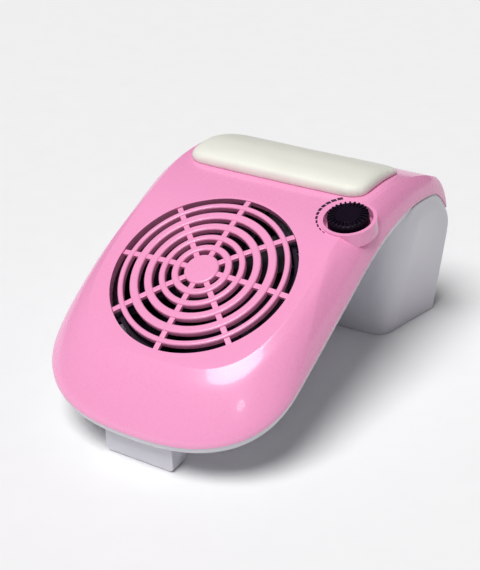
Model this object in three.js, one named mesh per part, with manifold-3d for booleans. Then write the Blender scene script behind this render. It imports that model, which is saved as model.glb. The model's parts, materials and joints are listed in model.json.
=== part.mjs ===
// Nail dust collector: a sloping deck with a round intake grille over a fan,
// a padded hand rest over the rear crest, a speed knob, and a rear leg that
// holds the electronics and the exhaust filter.
// Millimetres. +X is the object's right, +Y its back, +Z up. The origin is the
// middle of the bounding box on the table. "Run" is the distance back from the nose.

import * as THREE from "three";
import { mergeVertices } from "three/addons/utils/BufferGeometryUtils.js";
import Module from "manifold-3d";

const wasm = await Module();
wasm.setup();

// ---------- driving dimensions ----------
const bodyLength = 288;
const deckTilt = THREE.MathUtils.degToRad(25.5);

// walls and clearances
const coverWall = 2.4;
const baseWall = 2.6;
const fitGap = 0.3;
const seamGap = 0.4;
const runGap = 0.1;

// side profile of the deck and of the seam between the cover and the base
const deckNoseHeight = 57.5;
const seamNoseHeight = 27.3;
const crestStart = bodyLength * 0.4444;
const crestRadius = bodyLength * 0.5903;
const seamCrestStart = bodyLength * 0.5312;
const seamCrestRadius = bodyLength * 0.5486;
const rearDropStart = bodyLength - 26;
const rearDrop = 12;

// plan of the seam line and of the crease round the flat deck
const seamPlan = { front: 0, shoulder: 65, rear: bodyLength, power: 2.5, half: seamHalf };
const creasePlan = { front: 28.6, shoulder: 129, rear: bodyLength - 6, power: 3.4, half: creaseHalf };
const seamHalfWidth = 92.9;
const seamWaist = 1;
const waistLength = 120;
const rearTaper = 2.5;
const creaseHalfWidth = 76.2;
const creaseFlare = 2.8;
const flareLength = 70;
const creaseRearFlare = 3.5;

// shape of the facet between them: at each share of its height, how far in it
// has come by the nose and by the rear sides
const facetHeights = [0.12, 0.45, 0.75, 0.92];
const facetNose = [0.02, 0.29, 0.62, 0.87];
const facetSide = [0.02, 0.2, 0.5, 0.8];
const facetChangeRun = 90;
const facetChangeLength = 80;

// base tray and rear leg
const trayDepth = 8.5;
const trayUndercut = 6;
const legBottom = 0.6;
const legFootFront = bodyLength - 59;
const legTopFront = bodyLength - 83;
const legFootHalfFront = 71;
const legFootHalfRear = 82;
const legFootCorner = 14;
const legBulge = 1.8;
const legBulgeDrop = 14;
const legTopCorner = 26;
const legTopDrop = 2;

// front foot and rubber pads
const footHalfWidth = 27;
const footFront = 10;
const footDepth = 16;
const footCorner = 3;
const padRadius = 7;
const padThickness = 1.5;
const padInset = 14;
const stripHalfWidth = 20;
const stripDepth = 8;

// intake grille, in the plane of the deck
const grilleRun = 94;
const holeRadius = 66;
const grilleDome = 4.2;
const grilleThickness = 4.5;
const grilleDisc = holeRadius * 0.185;
const ringShares = [[0.245, 0.32], [0.391, 0.458], [0.533, 0.617], [0.686, 0.777], [0.853, 0.912]];
const grilleRings = ringShares.map((ring) => ring.map((share) => share * holeRadius));
const spokeCount = 8;
const spokeWidth = 4;
const spokeDrop = 1.2;
const spokeThickness = 3;
const holeLip = 6;
const lugLength = 4;
const lugHeight = 4;

// fan
const fanFrameRadius = holeRadius - 2.2;
const fanFrameWall = 2.8;
const fanFrameTop = -9;
const fanFrameBottom = -30;
const fanArmThickness = 3;
const fanArmWidth = 6;
const motorRadius = 17.5;
const motorTop = -14;
const bearingRadius = 4;
const bearingLength = 2.5;
const shaftRadius = 1.5;
const hubRadius = 22;
const hubWall = 2.2;
const hubTop = -10;
const hubBottom = -25.5;
const bladeCount = 7;
const bladeTip = fanFrameRadius - 5.3;
const bladeThickness = 1.6;
const fanBoltRadius = holeRadius + 3.5;
const fanBossRadius = 3.2;
const fanBossBottom = -10;

// screws
const screwRadius = 1.4;
const screwHeadRadius = 2.8;
const screwHeadHeight = 1.8;
const caseBossRadius = 4;
const caseScrewPlaces = [[52, -58], [-52, -58], [60, 50], [-60, 50]];

// speed knob and potentiometer
const knobX = 73.4;
const knobRun = bodyLength * 0.5625;
const knobTilt = THREE.MathUtils.degToRad(12.3);
const knobRadius = 14.5;
const knobHeight = 11;
const knobProud = 4;
const wellRadius = 17;
const collarRadius = 19.5;
const wellFloor = 3;
const potRadius = 8.5;
const potHeight = 9;
const potShaftRadius = 3;

// hand rest
const restHalfWidth = 72.5;
const restFront = bodyLength - 105.5;
const restRear = bodyLength - 38;
const restCrown = bodyLength - 83;
const restThinning = 0.6;
const restCorner = 12;
const restHeight = 9;
const restShoulder = 5;
const restBow = 1;
const boardThickness = 2;
const boardInset = 4.5;

// rear exhaust cassette
const filterHalfWidth = 56;
const filterLow = 16;
const filterHigh = 72;
const cassetteDepth = 17;
const cassetteFace = 3;
const cassetteWall = 3;
const slotCount = 8;
const slotWidth = 3.4;
const railThickness = 3;
const tabHalfWidth = 9;

// electronics in the leg
const boardHalfX = 34;
const boardFrontRun = bodyLength - 50;
const boardRearRun = bodyLength - 22;
const boardHeight = 8.6;
const circuitThickness = 1.6;
const postRadius = 3;
const socketX = 68;
const socketHeight = 30;
const socketRadius = 5.5;
const socketLength = 12;
const socketFlange = 7.5;
const leadRadius = 1.3;
const leadTop = [-11.5, bodyLength - 38];
const mainsLeadEnd = [28, bodyLength - 36];

// facets
const nosePoints = 12;
const sidePoints = 20;
const roundFacets = 36;
const smallFacets = 16;
const tinyFacets = 8;

// ---------- derived places ----------
const noseY = -bodyLength / 2;
const deckSlope = Math.tan(deckTilt);
const deckGroup = new THREE.Group();
deckGroup.rotation.x = deckTilt;
deckGroup.position.set(0, noseY + grilleRun, deckHeight(grilleRun));
deckGroup.updateMatrix();
const knobGroup = new THREE.Group();
knobGroup.rotation.x = knobTilt;
knobGroup.position.set(knobX, noseY + knobRun, deckHeight(knobRun));
knobGroup.updateMatrix();
const trayFloorTop = -(deckNoseHeight - seamNoseHeight + trayDepth) * Math.cos(deckTilt) + baseWall;
const trayFloorBottom = trayFloorTop - baseWall;
const wellDepth = knobHeight - knobProud + 1;
const group = new THREE.Group();
group.add(deckGroup, knobGroup);

// ---------- curves of the body ----------
function smooth(value) {
  const t = Math.min(Math.max(value, 0), 1);
  return t * t * (3 - 2 * t);
}

function crestCurve(run, noseHeight, start, radius) {
  const straight = noseHeight + run * Math.tan(deckTilt);
  if (run <= start) {
    return straight;
  }
  const centreRun = start + radius * Math.sin(deckTilt);
  const centreHeight = noseHeight + start * Math.tan(deckTilt) - radius * Math.cos(deckTilt);
  return centreHeight + Math.sqrt(radius ** 2 - (run - centreRun) ** 2);
}

function deckHeight(run) {
  return crestCurve(run, deckNoseHeight, crestStart, crestRadius);
}

function seamHeight(run) {
  const drop = Math.max(run - rearDropStart, 0) / (bodyLength - rearDropStart);
  return crestCurve(run, seamNoseHeight, seamCrestStart, seamCrestRadius) - rearDrop * drop ** 2;
}

function seamHalf(run) {
  const waist = seamWaist * smooth((run - seamPlan.shoulder) / waistLength);
  const rear = rearTaper * smooth((run - seamCrestStart) / (bodyLength - seamCrestStart));
  return seamHalfWidth - waist - rear;
}

function creaseHalf(run) {
  const flare = creaseFlare * smooth((run - creasePlan.shoulder) / flareLength);
  const rear = creaseRearFlare * smooth((run - seamCrestStart) / (bodyLength - seamCrestStart));
  return creaseHalfWidth + flare + rear;
}

// ---------- solids ----------
function solidOf(geometry) {
  const bare = geometry.clone();
  bare.deleteAttribute("normal");
  bare.deleteAttribute("uv");
  const merged = mergeVertices(bare, 1e-4);
  const vertProperties = new Float32Array(merged.attributes.position.array);
  const triVerts = new Uint32Array(merged.index.array);
  return new wasm.Manifold(new wasm.Mesh({ numProp: 3, vertProperties, triVerts }));
}

function geometryOf(solid) {
  const mesh = solid.getMesh();
  const geometry = new THREE.BufferGeometry();
  geometry.setAttribute("position", new THREE.BufferAttribute(mesh.vertProperties, 3));
  geometry.setIndex(new THREE.BufferAttribute(mesh.triVerts, 1));
  geometry.computeVertexNormals();
  return geometry;
}

// a closed skin through matching loops, lowest loop first, with both ends closed
// across the width: point i of a loop mirrors point (length - i)
function loft(rings) {
  const count = rings[0].length;
  const half = (count - 1) / 2;
  const positions = rings.flat().flatMap((point) => [point.x, point.y, point.z]);
  const index = [];
  for (let ring = 0; ring + 1 < rings.length; ring++) {
    for (let i = 0; i < count; i++) {
      const a = ring * count + i;
      const b = ring * count + ((i + 1) % count);
      index.push(a, b, b + count, a, b + count, a + count);
    }
  }
  const top = (rings.length - 1) * count;
  for (let i = 0; i < half; i++) {
    const next = i + 1;
    const farNext = count - next;
    const far = count - i;
    index.push(top + i, top + next, top + farNext);
    index.push(i, farNext, next);
    if (i > 0) {
      index.push(top + i, top + farNext, top + far);
      index.push(i, far, farNext);
    }
  }
  const geometry = new THREE.BufferGeometry();
  geometry.setAttribute("position", new THREE.Float32BufferAttribute(positions, 3));
  geometry.setIndex(index);
  return geometry;
}

// the right half of a loop, front centre to rear corner, made whole by its mirror
function mirrored(halfLoop) {
  const left = halfLoop.slice(1).reverse().map((point) => new THREE.Vector3(-point.x, point.y, point.z));
  return [...halfLoop, ...left];
}

function bodyRing(plan, inset, height) {
  const points = [];
  const front = plan.front + inset;
  const shoulderHalf = plan.half(plan.shoulder) - inset;
  for (let i = 0; i <= nosePoints; i++) {
    const angle = (i / nosePoints) * Math.PI / 2;
    const x = shoulderHalf * Math.sin(angle) ** (2 / plan.power);
    const run = plan.shoulder - (plan.shoulder - front) * Math.cos(angle) ** (2 / plan.power);
    points.push(new THREE.Vector3(x, noseY + run, height(run)));
  }
  const rear = plan.rear - inset;
  for (let i = 1; i <= sidePoints; i++) {
    const run = plan.shoulder + (rear - plan.shoulder) * (i / sidePoints);
    points.push(new THREE.Vector3(plan.half(run) - inset, noseY + run, height(run)));
  }
  return mirrored(points);
}

function facetRing(seam, crease, level) {
  return seam.map((point, i) => {
    const change = smooth((point.y - noseY - facetChangeRun) / facetChangeLength);
    const share = THREE.MathUtils.lerp(facetNose[level], facetSide[level], change);
    return new THREE.Vector3(
      THREE.MathUtils.lerp(point.x, crease[i].x, share),
      THREE.MathUtils.lerp(point.y, crease[i].y, share),
      THREE.MathUtils.lerp(point.z, crease[i].z, facetHeights[level]),
    );
  });
}

function roundedHalfLoop(half, front, rear, corner, bow, place) {
  const points = [place(0, front - bow), place((half - corner) / 2, front - bow * 0.7)];
  for (let i = 0; i <= 6; i++) {
    const angle = (i / 6) * Math.PI / 2;
    points.push(place(half - corner + corner * Math.sin(angle), front + corner - corner * Math.cos(angle)));
  }
  return points;
}

function box(sizeX, sizeY, sizeZ, x, y, z) {
  return new THREE.BoxGeometry(sizeX, sizeY, sizeZ).translate(x, y, z);
}

function boxBetween(low, high) {
  const size = high.map((value, i) => value - low[i]);
  const middle = high.map((value, i) => (value + low[i]) / 2);
  return box(...size, ...middle);
}

// a round bar along Z between two heights
function rod(radius, low, high, facets = smallFacets) {
  const geometry = new THREE.CylinderGeometry(radius, radius, high - low, facets);
  return geometry.rotateX(Math.PI / 2).translate(0, 0, (low + high) / 2);
}

// a turned part about Z from a closed outline of [radius, height] points
function turned(outline, facets = roundFacets) {
  const points = [...outline, outline[0]].map(([radius, height]) => new THREE.Vector2(radius, height));
  return new THREE.LatheGeometry(points, facets).rotateX(Math.PI / 2);
}

function pipe(inner, outer, low, high, facets = roundFacets) {
  return turned([[inner, low], [outer, low], [outer, high], [inner, high]], facets);
}

function inDeck(geometry) {
  return solidOf(geometry.applyMatrix4(deckGroup.matrix));
}

function atKnob(geometry) {
  return solidOf(geometry.applyMatrix4(knobGroup.matrix));
}

function union(solids) {
  return solids.reduce((sum, solid) => sum.add(solid));
}

// ---------- finishes ----------
function finish(color, roughness, metalness = 0) {
  return new THREE.MeshStandardMaterial({ color, roughness, metalness });
}

const pinkGloss = finish(0xf9a6d2, 0.25);
const whiteGloss = finish(0xe6e6ec, 0.3);
const ivoryLeather = finish(0xf6f6ea, 0.55);
const blackGloss = finish(0x1c0e24, 0.3);
const blackPlastic = finish(0x17141a, 0.55);
const rubber = finish(0xcfcfd2, 0.85);
const steel = finish(0xb9bcc2, 0.35, 1);
const foam = finish(0x3a3d42, 0.95);
const circuitGreen = finish(0x1f6b3c, 0.6);
const wood = finish(0xc9a878, 0.8);
const brass = finish(0xc9a24e, 0.35, 1);

function piece(name, geometry, material, parent = group) {
  const mesh = new THREE.Mesh(geometry, material);
  mesh.name = name;
  parent.add(mesh);
  return mesh;
}

// ---------- top cover ----------
function coverSkin(inset, drop, creaseInset, skirt) {
  const seam = bodyRing(seamPlan, inset, (run) => seamHeight(run) + seamGap / 2);
  const crease = bodyRing(creasePlan, creaseInset, (run) => deckHeight(run) - drop);
  const lowest = bodyRing(seamPlan, inset, (run) => seamHeight(run) + seamGap / 2 - skirt);
  const rings = [...facetHeights.map((_, level) => facetRing(seam, crease, level)), crease];
  return skirt > 0 ? loft([lowest, ...rings]) : loft([seam, ...rings]);
}

function coverBosses() {
  const solids = [];
  for (const [x, y] of caseScrewPlaces) {
    const foot = trayFloorTop + fitGap;
    const boss = pipe(screwRadius + fitGap, caseBossRadius, foot, -coverWall / 2, smallFacets);
    solids.push(inDeck(boss.translate(x, y, 0)));
  }
  for (let i = 0; i < 4; i++) {
    const angle = Math.PI / 4 + (i * Math.PI) / 2;
    const boss = pipe(screwRadius + fitGap, fanBossRadius, fanBossBottom, -coverWall / 2, smallFacets);
    solids.push(inDeck(boss.translate(fanBoltRadius * Math.cos(angle), fanBoltRadius * Math.sin(angle), 0)));
  }
  return solids;
}

function spokeLugs() {
  const lugTop = -spokeDrop - spokeThickness - fitGap;
  const reach = holeRadius + 0.5 - lugLength / 2;
  const solids = [];
  for (let i = 0; i < spokeCount; i++) {
    const lug = box(lugLength + 1, spokeWidth, lugHeight, reach, 0, lugTop - lugHeight / 2);
    solids.push(inDeck(lug.rotateZ((i * Math.PI * 2) / spokeCount)));
  }
  return solids;
}

function topCover() {
  const outer = solidOf(coverSkin(0, 0, 0, 0));
  const inner = solidOf(coverSkin(coverWall + 0.2, coverWall / Math.cos(deckTilt), coverWall * 0.6, 4));
  const collar = atKnob(rod(collarRadius, -wellDepth - wellFloor, 0));
  const underDeck = atKnob(rod(collarRadius + 1, -60, 0)).intersect(solidOf(deckBlock()));
  const shell = union([
    outer.subtract(inner),
    collar.intersect(underDeck),
    inDeck(pipe(holeRadius, holeRadius + 2, -holeLip, -coverWall / 2)),
    ...coverBosses(),
  ]);
  const opened = shell.subtract(inDeck(rod(holeRadius, -holeLip - 3, 4, roundFacets)));
  return union([opened, ...spokeLugs()])
    .subtract(atKnob(rod(wellRadius, -wellDepth, 12, roundFacets)))
    .subtract(atKnob(rod(potShaftRadius + 1.5, -30, 0)));
}

// everything under the plane of the flat deck, wide of the body
function deckBlock() {
  return box(300, 300, 120, 0, 0, -60).applyMatrix4(deckGroup.matrix);
}

// ---------- base shell ----------
function trayBlock(inset, floorLift, topLift) {
  const bottom = bodyRing(seamPlan, inset + trayUndercut, (run) => seamHeight(run) - trayDepth + floorLift);
  const edgeDrop = trayDepth * 0.55 - floorLift * 0.5;
  const edge = bodyRing(seamPlan, inset + 1.6, (run) => seamHeight(run) - edgeDrop);
  const top = bodyRing(seamPlan, inset + 0.4, (run) => seamHeight(run) - seamGap / 2 + topLift);
  return solidOf(loft([bottom, edge, top]));
}

function legRing(inset, front, halfFront, halfRear, corner, height) {
  const place = (x, run) => new THREE.Vector3(x, noseY + run, height(run));
  const half = halfFront - inset;
  const points = roundedHalfLoop(half, front + inset, 0, corner, 1.5, place);
  const sideStart = front + inset + corner;
  const rear = bodyLength - inset;
  for (let i = 1; i <= 6; i++) {
    const share = i / 6;
    const x = THREE.MathUtils.lerp(half, halfRear - inset, share);
    points.push(place(x, THREE.MathUtils.lerp(sideStart, rear, share)));
  }
  return mirrored(points);
}

function legBlock(inset, floor, topLift) {
  const frontHalf = seamHalf(legTopFront);
  const rearHalf = seamHalf(bodyLength);
  const foot = legRing(inset, legFootFront, legFootHalfFront, legFootHalfRear, legFootCorner, () => floor);
  const bulge = legRing(inset, legTopFront + 3, frontHalf + legBulge, rearHalf + legBulge, legTopCorner,
    (run) => seamHeight(run) - legBulgeDrop);
  const top = legRing(inset, legTopFront, frontHalf - 0.6, rearHalf - 0.6, legTopCorner,
    (run) => seamHeight(run) - legTopDrop + topLift);
  return solidOf(loft([foot, bulge, top]));
}

function padPlaces() {
  const front = legFootFront + padInset;
  const rear = bodyLength - padInset;
  const halfFront = legFootHalfFront - padInset;
  const halfRear = legFootHalfRear - padInset;
  return [[halfFront, front], [-halfFront, front], [halfRear, rear], [-halfRear, rear]];
}

function circuitPosts() {
  const x = boardHalfX - postRadius;
  const front = boardFrontRun + postRadius;
  const rear = boardRearRun - postRadius;
  return [[x, front], [-x, front], [x, rear], [-x, rear]];
}

function baseShell() {
  const outer = trayBlock(0, 0, 0).add(legBlock(0, legBottom, 0));
  const legFloor = legBottom + baseWall;
  let shell = outer
    .subtract(trayBlock(baseWall, baseWall, 6))
    .subtract(legBlock(baseWall, legFloor, 12));
  const rearY = noseY + bodyLength;
  const railIn = rearY - cassetteDepth;
  for (const side of [-1, 1]) {
    const innerX = side * (filterHalfWidth + railThickness);
    const low = [Math.min(innerX, side * filterHalfWidth), railIn, legFloor - 1];
    const railTop = filterHigh + railThickness;
    const high = [Math.max(innerX, side * filterHalfWidth), rearY - baseWall + 0.5, railTop];
    shell = shell.add(solidOf(boxBetween(low, high)));
  }
  const floorLedge = boxBetween(
    [-filterHalfWidth - 1, railIn, filterLow - railThickness],
    [filterHalfWidth + 1, rearY - baseWall + 0.5, filterLow],
  );
  shell = shell.add(solidOf(floorLedge));
  for (const [x, run] of circuitPosts()) {
    const post = rod(postRadius, legFloor - 0.5, boardHeight - fitGap, tinyFacets);
    const hole = rod(screwRadius + fitGap, legFloor + 1, boardHeight + 1, tinyFacets);
    shell = shell.add(solidOf(post.translate(x, noseY + run, 0)));
    shell = shell.subtract(solidOf(hole.translate(x, noseY + run, 0)));
  }
  for (const [x, run] of padPlaces()) {
    const pocket = rod(padRadius + fitGap, -1, padThickness + fitGap);
    shell = shell.subtract(solidOf(pocket.translate(x, noseY + run, 0)));
  }
  for (const [x, y] of caseScrewPlaces) {
    const hole = rod(screwRadius + fitGap, trayFloorBottom - 2, trayFloorTop + 2, tinyFacets);
    shell = shell.subtract(inDeck(hole.translate(x, y, 0)));
  }
  const window = boxBetween(
    [-filterHalfWidth, railIn - 1, filterLow],
    [filterHalfWidth, rearY + 1, filterHigh],
  );
  const socketHole = rod(socketRadius + fitGap, -6, 6).rotateX(Math.PI / 2);
  return shell
    .subtract(solidOf(window))
    .subtract(solidOf(socketHole.translate(socketX, rearY, socketHeight)));
}

// ---------- foot and pads ----------
function frontFoot() {
  const trayUnder = (run) => seamHeight(run) - trayDepth - fitGap;
  const side = new THREE.Shape([
    new THREE.Vector2(footFront, legBottom),
    new THREE.Vector2(footFront + footDepth, legBottom),
    new THREE.Vector2(footFront + footDepth, trayUnder(footFront + footDepth)),
    new THREE.Vector2(footFront, trayUnder(footFront)),
  ]);
  const wedge = new THREE.ExtrudeGeometry(side, { depth: 2 * footHalfWidth, bevelEnabled: false });
  wedge.applyMatrix4(new THREE.Matrix4().makeBasis(
    new THREE.Vector3(0, 1, 0), new THREE.Vector3(0, 0, 1), new THREE.Vector3(1, 0, 0),
  )).translate(-footHalfWidth, noseY, 0);
  const front = new THREE.Shape();
  const cornerX = footHalfWidth - footCorner;
  const cornerZ = legBottom + footCorner;
  front.moveTo(-footHalfWidth, 60);
  front.lineTo(-footHalfWidth, cornerZ);
  front.absarc(-cornerX, cornerZ, footCorner, Math.PI, 1.5 * Math.PI, false);
  front.absarc(cornerX, cornerZ, footCorner, 1.5 * Math.PI, 2 * Math.PI, false);
  front.lineTo(footHalfWidth, 60);
  const slab = new THREE.ExtrudeGeometry(front, { depth: 60, bevelEnabled: false, curveSegments: 6 });
  slab.rotateX(Math.PI / 2).translate(0, noseY + 60, 0);
  const stripFront = noseY + footFront + (footDepth - stripDepth) / 2;
  const pocket = boxBetween(
    [-stripHalfWidth - fitGap, stripFront - fitGap, -1],
    [stripHalfWidth + fitGap, stripFront + stripDepth + fitGap, padThickness + fitGap],
  );
  return solidOf(wedge).intersect(solidOf(slab)).subtract(solidOf(pocket));
}

function footStrip() {
  return boxBetween(
    [-stripHalfWidth, noseY + footFront + (footDepth - stripDepth) / 2, 0],
    [stripHalfWidth, noseY + footFront + (footDepth + stripDepth) / 2, padThickness],
  );
}

// ---------- grille ----------
function domeHeight(radius) {
  return grilleDome * (1 - (radius / holeRadius) ** 2);
}

function grille() {
  const disc = turned([
    [0, domeHeight(0) - grilleThickness], [grilleDisc, domeHeight(grilleDisc) - grilleThickness],
    [grilleDisc, domeHeight(grilleDisc)], [0, domeHeight(0)],
  ]);
  const solids = [solidOf(disc)];
  for (const [inner, outer] of grilleRings) {
    const top = domeHeight((inner + outer) / 2);
    solids.push(solidOf(pipe(inner, outer, top - grilleThickness, top)));
  }
  const end = holeRadius - fitGap;
  const steps = 6;
  const outline = new THREE.Shape();
  const start = grilleDisc - 1;
  const spokeTop = (radius) => domeHeight(radius) - spokeDrop;
  outline.moveTo(start, spokeTop(start));
  for (let i = 1; i <= steps; i++) {
    const radius = start + ((end - start) * i) / steps;
    outline.lineTo(radius, spokeTop(radius));
  }
  for (let i = steps; i >= 0; i--) {
    const radius = start + ((end - start) * i) / steps;
    outline.lineTo(radius, spokeTop(radius) - spokeThickness);
  }
  for (let i = 0; i < spokeCount; i++) {
    const spoke = new THREE.ExtrudeGeometry(outline, { depth: spokeWidth, bevelEnabled: false });
    spoke.rotateX(Math.PI / 2).translate(0, spokeWidth / 2, 0).rotateZ((i * 2 * Math.PI) / spokeCount);
    solids.push(solidOf(spoke));
  }
  return union(solids);
}

// ---------- fan ----------
function fanFrame() {
  const inner = fanFrameRadius - fanFrameWall;
  const armTop = fanFrameBottom + fanArmThickness;
  const solids = [
    solidOf(pipe(inner, fanFrameRadius, fanFrameBottom, fanFrameTop)),
    solidOf(rod(motorRadius + 1.5, fanFrameBottom, armTop, roundFacets)),
  ];
  const armMiddle = (fanFrameBottom + armTop) / 2;
  for (let i = 0; i < 3; i++) {
    const arm = box(inner + 1, fanArmWidth, fanArmThickness, (inner + 1) / 2, 0, armMiddle);
    solids.push(solidOf(arm.rotateZ(Math.PI / 2 + (i * 2 * Math.PI) / 3)));
  }
  const lugTop = fanBossBottom - fitGap;
  for (let i = 0; i < 4; i++) {
    const angle = Math.PI / 4 + (i * Math.PI) / 2;
    const lug = box(fanBoltRadius - inner, 9, 3, (fanBoltRadius + inner) / 2, 0, lugTop - 1.5);
    const end = rod(4.5, lugTop - 3, lugTop);
    const hole = rod(screwRadius + fitGap, lugTop - 4, lugTop + 1, tinyFacets);
    const turn = (shape) => solidOf(shape.rotateZ(angle));
    const whole = turn(lug).add(turn(end.translate(fanBoltRadius, 0, 0)));
    solids.push(whole.subtract(turn(hole.translate(fanBoltRadius, 0, 0))));
  }
  const trimmed = rod(inner, fanFrameTop - 8, fanFrameTop + 8, roundFacets);
  return union(solids).subtract(solidOf(trimmed));
}

function motorBody() {
  const low = fanFrameBottom + fanArmThickness + fitGap;
  const seat = bearingRadius + fitGap;
  const depth = bearingLength + fitGap;
  const neck = shaftRadius + 1;
  return turned([
    [neck, low + depth], [seat, low + depth], [seat, low], [motorRadius, low],
    [motorRadius, motorTop], [seat, motorTop], [seat, motorTop - depth], [neck, motorTop - depth],
  ]);
}

function bearing(low) {
  return pipe(shaftRadius + runGap, bearingRadius, low, low + bearingLength, smallFacets);
}

function blade() {
  const stations = [[hubRadius - 1, 19, 44], [33, 21, 37], [46, 24, 31], [bladeTip, 26, 27]];
  const middle = (hubTop + hubBottom) / 2 - 0.5;
  const rings = stations.map(([radius, chord, pitch]) => {
    const angle = THREE.MathUtils.degToRad(pitch);
    const along = new THREE.Vector2(Math.cos(angle), Math.sin(angle)).multiplyScalar(chord / 2);
    const across = new THREE.Vector2(-Math.sin(angle), Math.cos(angle)).multiplyScalar(bladeThickness / 2);
    const corners = [[-1, -1], [1, -1], [1, 1], [-1, 1]];
    return corners.map(([a, b]) => {
      const side = along.x * a + across.x * b;
      const reach = Math.sqrt(Math.max(radius ** 2 - side ** 2, 1));
      return new THREE.Vector3(reach, side, middle + along.y * a + across.y * b);
    });
  });
  const positions = rings.flat().flatMap((point) => [point.x, point.y, point.z]);
  const index = [];
  for (let ring = 0; ring + 1 < rings.length; ring++) {
    for (let i = 0; i < 4; i++) {
      const a = ring * 4 + i;
      const b = ring * 4 + ((i + 1) % 4);
      index.push(a, b, b + 4, a, b + 4, a + 4);
    }
  }
  const last = (rings.length - 1) * 4;
  index.push(0, 2, 1, 0, 3, 2, last, last + 1, last + 2, last, last + 2, last + 3);
  const geometry = new THREE.BufferGeometry();
  geometry.setAttribute("position", new THREE.Float32BufferAttribute(positions, 3));
  geometry.setIndex(index);
  return geometry;
}

function impeller() {
  const bore = shaftRadius + fitGap;
  const inner = hubRadius - hubWall;
  const boss = 4.5;
  const cup = turned([
    [0, hubTop], [hubRadius, hubTop], [hubRadius, hubBottom], [inner, hubBottom],
    [inner, hubTop - hubWall], [boss, hubTop - hubWall], [boss, motorTop + fitGap],
    [bore, motorTop + fitGap], [bore, hubTop - 0.8], [0, hubTop - 0.8],
  ].reverse());
  const solids = [solidOf(cup)];
  for (let i = 0; i < bladeCount; i++) {
    solids.push(solidOf(blade().rotateZ((i * 2 * Math.PI) / bladeCount)));
  }
  const cavity = rod(inner - 0.01, hubBottom - 3, hubTop - hubWall, roundFacets);
  const core = rod(boss, motorTop + fitGap, hubTop - hubWall, roundFacets);
  return union(solids).subtract(solidOf(cavity).subtract(solidOf(core)));
}

function rotorRing() {
  const outer = hubRadius - hubWall - fitGap;
  return pipe(outer - 1.4, outer, hubBottom + 1, hubTop - hubWall - fitGap);
}

// a screw along Z: the head's underside at zero, the shank upwards
function screw(length) {
  const head = rod(screwHeadRadius, -screwHeadHeight, 0, tinyFacets);
  const shank = rod(screwRadius, -0.5, length, tinyFacets);
  const slot = rod(1.1, -screwHeadHeight - 1, -screwHeadHeight + 1, 6);
  return solidOf(head).add(solidOf(shank)).subtract(solidOf(slot));
}

// ---------- knob ----------
function speedKnob() {
  const ribs = 26;
  const low = -wellDepth + 1;
  const body = rod(knobRadius - 0.8, low, knobProud, ribs);
  const solids = [solidOf(body)];
  for (let i = 0; i < ribs; i++) {
    const rib = box(knobRadius * 0.4, 1.2, 3, knobRadius * 0.8, 0, knobProud - 1.1);
    solids.push(solidOf(rib.rotateZ((i * 2 * Math.PI) / ribs)));
  }
  const bore = rod(potShaftRadius + fitGap, low - 1, low + 8);
  return union(solids).subtract(solidOf(bore));
}

function potBody() {
  const top = -wellDepth - wellFloor - fitGap;
  return turned([
    [potShaftRadius + runGap, top - 4], [potRadius, top - 4], [potRadius, top],
    [potShaftRadius + 1.2, top], [potShaftRadius + 1.2, -wellDepth + 0.5],
    [potShaftRadius + runGap, -wellDepth + 0.5],
  ], smallFacets);
}

function potCan() {
  const top = -wellDepth - wellFloor - fitGap - 4 - fitGap;
  return pipe(potShaftRadius + 0.5, potRadius, top - potHeight, top, smallFacets);
}

// ---------- hand rest ----------
// a place on the deck's side profile: run along the deck, raised at right angles to it
function overDeck(x, run, lift) {
  const step = 0.5;
  const rise = (deckHeight(run + step) - deckHeight(run - step)) / (2 * step);
  const length = Math.hypot(1, rise);
  return new THREE.Vector3(x, noseY + run - (rise / length) * lift, deckHeight(run) + lift / length);
}

// the pad is thickest at its front and thins behind the crown
function padLift(run, height) {
  return height * (1 - restThinning * smooth((run - restCrown) / (restRear - restCrown)));
}

function restRing(inset, lift, height = 0) {
  const place = (x, run) => overDeck(x, run, lift + padLift(run, height));
  const half = restHalfWidth - inset;
  const front = restFront + inset;
  const rear = restRear - inset;
  const points = roundedHalfLoop(half, front, rear, restCorner, restBow, place);
  const straight = rear - front - 2 * restCorner;
  for (let i = 1; i <= 8; i++) {
    points.push(place(half, front + restCorner + (straight * i) / 8));
  }
  for (let i = 1; i <= 6; i++) {
    const angle = (i / 6) * Math.PI / 2;
    const x = half - restCorner + restCorner * Math.cos(angle);
    points.push(place(x, rear - restCorner + restCorner * Math.sin(angle)));
  }
  return mirrored(points);
}

function restBoard() {
  return solidOf(loft([restRing(boardInset, fitGap), restRing(boardInset, fitGap + boardThickness)]));
}

function restCushion() {
  const spaceInset = boardInset - fitGap;
  const boardSpace = loft([restRing(spaceInset, -1), restRing(spaceInset, boardThickness + 2 * fitGap)]);
  const pad = loft([
    restRing(0.8, fitGap),
    restRing(0, 0, restHeight * 0.35),
    restRing(1.6, 0, restHeight * 0.75),
    restRing(restShoulder, 0, restHeight),
  ]);
  return solidOf(pad).subtract(solidOf(boardSpace));
}

// ---------- exhaust cassette ----------
function cassetteFrame() {
  const rearY = noseY + bodyLength;
  const half = filterHalfWidth - fitGap;
  const low = filterLow + fitGap;
  const high = filterHigh - fitGap;
  let frame = solidOf(boxBetween([-half, rearY - cassetteDepth, low], [half, rearY, high]));
  const room = boxBetween(
    [-half + cassetteWall, rearY - cassetteDepth - 1, low + cassetteWall],
    [half - cassetteWall, rearY - cassetteFace, high - cassetteWall],
  );
  frame = frame.subtract(solidOf(room));
  const spacing = (high - low - 14) / slotCount;
  for (let i = 0; i < slotCount; i++) {
    const height = low + 7 + spacing * (i + 0.5);
    for (const side of [-1, 1]) {
      const slot = box(half - 12, cassetteFace + 4, slotWidth, side * (half / 2 + 0.5), 0, height);
      frame = frame.subtract(solidOf(slot.translate(0, rearY - cassetteFace / 2, 0)));
    }
  }
  const notch = box(2 * tabHalfWidth, 4, 5, 0, rearY, high);
  return frame.subtract(solidOf(notch));
}

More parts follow.
